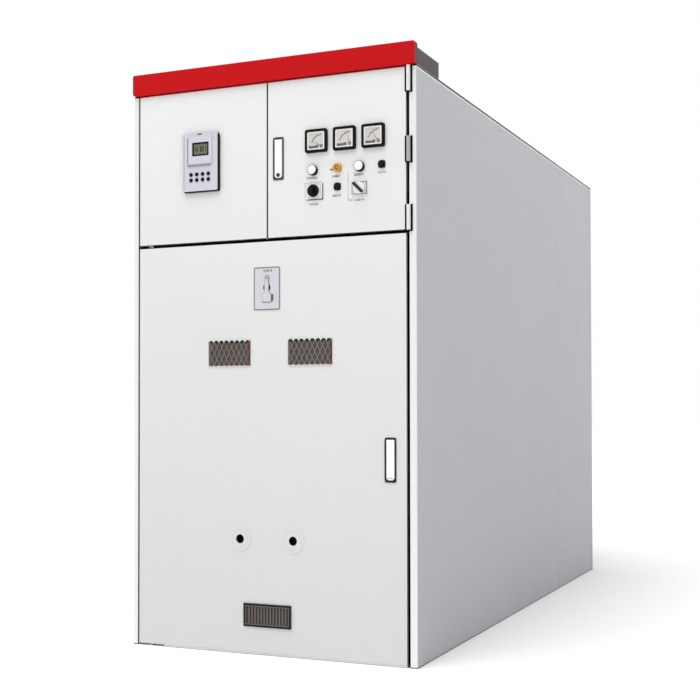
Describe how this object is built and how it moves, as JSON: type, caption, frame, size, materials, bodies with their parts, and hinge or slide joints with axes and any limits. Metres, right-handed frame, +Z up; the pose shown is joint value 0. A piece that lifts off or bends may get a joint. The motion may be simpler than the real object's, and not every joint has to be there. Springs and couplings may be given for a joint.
{
  "type": "high voltage cabinet",
  "caption": "Free-standing metal-clad high voltage switchgear cabinet with a tall main door, a hinged instrument door, a fixed controller panel and a red lintel band.",
  "frame": {"origin": "centre of the footprint, on the underside of the base frame's cross channel", "axes": "+Z up, the doors face -Y, +X is to the right of someone who faces the doors"},
  "size_m": [1.4, 3.0255, 2.595],
  "materials": {
    "front_paint": "satin powder coat",
    "side_paint": "satin powder coat",
    "galvanised_sheet": "aluminium-zinc coated",
    "band_red": "satin enamel",
    "box_grey": "satin enamel",
    "rail_black": "matt",
    "seal_rubber": "matt",
    "hinge_zinc": "die-cast, satin",
    "controller_plastic": "fine texture",
    "display_glass": "gloss",
    "key_black": "matt",
    "meter_black": "gloss",
    "dial_cream": "matt",
    "lamp_white": "gloss",
    "lamp_yellow": "gloss",
    "button_black": "gloss",
    "knob_black": "gloss",
    "knob_grey": "satin",
    "switch_grey": "satin",
    "tray_grey": "satin",
    "lever_white": "satin",
    "pane_brown": "smoked pane",
    "filter_brown": "matt filter pad",
    "mesh_brown": "matt",
    "plate_aluminium": "satin"
  },
  "bodies": {
    "cabinet": {"base_frame": "galvanised_sheet", "floor_plate": "galvanised_sheet", "left_front_post": "front_paint", "right_front_post": "front_paint", "rear_posts": "side_paint", "right_front_side_panel": "side_paint", "right_rear_side_panel": "side_paint", "left_front_side_panel": "side_paint", "left_rear_side_panel": "side_paint", "top_rail": "galvanised_sheet", "middle_rail": "rail_black", "centre_post": "galvanised_sheet", "seal_strips": "seal_rubber", "instrument_floor": "galvanised_sheet", "instrument_back": "galvanised_sheet", "breaker_partition": "galvanised_sheet", "cable_partition": "galvanised_sheet", "roof_plates": "galvanised_sheet", "relief_flaps": "galvanised_sheet", "lintel_band": "band_red", "wire_box": "box_grey", "upper_rear_cover": "side_paint", "lower_rear_cover": "side_paint", "fixed_hinge_knuckles": "hinge_zinc", "door_pivot_brackets": "rail_black", "controller_panel": "front_paint", "controller_body": "key_black", "controller_housing": "controller_plastic", "controller_display": "display_glass", "controller_keys": "key_black"},
    "instrument_door": {"instrument_door_panel": "front_paint", "door_hinge_knuckles": "hinge_zinc", "panel_meters": "meter_black", "meter_dials": "dial_cream", "lamp_collars": "button_black", "white_lamps": "lamp_white", "yellow_lamp": "lamp_yellow", "button_collars": "button_black", "selector_switch": "switch_grey", "changeover_switch": "switch_grey", "instrument_handle_tray": "tray_grey"},
    "upper_button": {"upper_button": "button_black"},
    "lower_button": {"lower_button": "button_black"},
    "selector_knob": {"selector_knob": "knob_black"},
    "changeover_knob": {"changeover_knob": "knob_grey"},
    "instrument_handle": {"instrument_handle_lever": "lever_white"},
    "main_door": {"main_door_panel": "front_paint", "emergency_plate": "plate_aluminium", "mesh_windows": "mesh_brown", "window_panes": "pane_brown", "vent_grille": "mesh_brown", "vent_filter": "filter_brown", "crank_escutcheons": "front_paint", "main_handle_tray": "tray_grey"},
    "emergency_flap": {"emergency_flap": "plate_aluminium"},
    "main_handle": {"main_handle_lever": "lever_white"}
  },
  "joints": [
    {"name": "instrument_door_hinge", "type": "hinge", "parent": "cabinet", "child": "instrument_door", "pos_m": [0.668, -1.509, 2.153], "axis": [0, 0, 1], "range_deg": [0, 120]},
    {"name": "main_door_hinge", "type": "hinge", "parent": "cabinet", "child": "main_door", "pos_m": [-0.61, -1.488, 0.9], "axis": [0, 0, -1], "range_deg": [0, 110]},
    {"name": "instrument_handle_flip", "type": "hinge", "parent": "instrument_door", "child": "instrument_handle", "pos_m": [0.051, -1.499, 2.236], "axis": [-1, 0, 0], "range_deg": [0, 30]},
    {"name": "main_handle_flip", "type": "hinge", "parent": "main_door", "child": "main_handle", "pos_m": [0.58, -1.499, 0.935], "axis": [-1, 0, 0], "range_deg": [0, 30]},
    {"name": "emergency_flap_swing", "type": "hinge", "parent": "main_door", "child": "emergency_flap", "pos_m": [-0.006, -1.505, 1.639], "axis": [0, 1, 0], "range_deg": [0, 100]},
    {"name": "selector_knob_turn", "type": "hinge", "parent": "instrument_door", "child": "selector_knob", "pos_m": [0.224, -1.5, 2.003], "axis": [0, 1, 0], "range_deg": [-45, 45]},
    {"name": "changeover_knob_turn", "type": "hinge", "parent": "instrument_door", "child": "changeover_knob", "pos_m": [0.44, -1.5, 2.001], "axis": [0, 1, 0], "range_deg": [0, 90]},
    {"name": "upper_button_press", "type": "slide", "parent": "instrument_door", "child": "upper_button", "axis": [0, 1, 0], "range_m": [0, 0.004], "stiffness_N_per_m": 500, "springref_m": -0.003},
    {"name": "lower_button_press", "type": "slide", "parent": "instrument_door", "child": "lower_button", "axis": [0, 1, 0], "range_m": [0, 0.004], "stiffness_N_per_m": 500, "springref_m": -0.003}
  ]
}
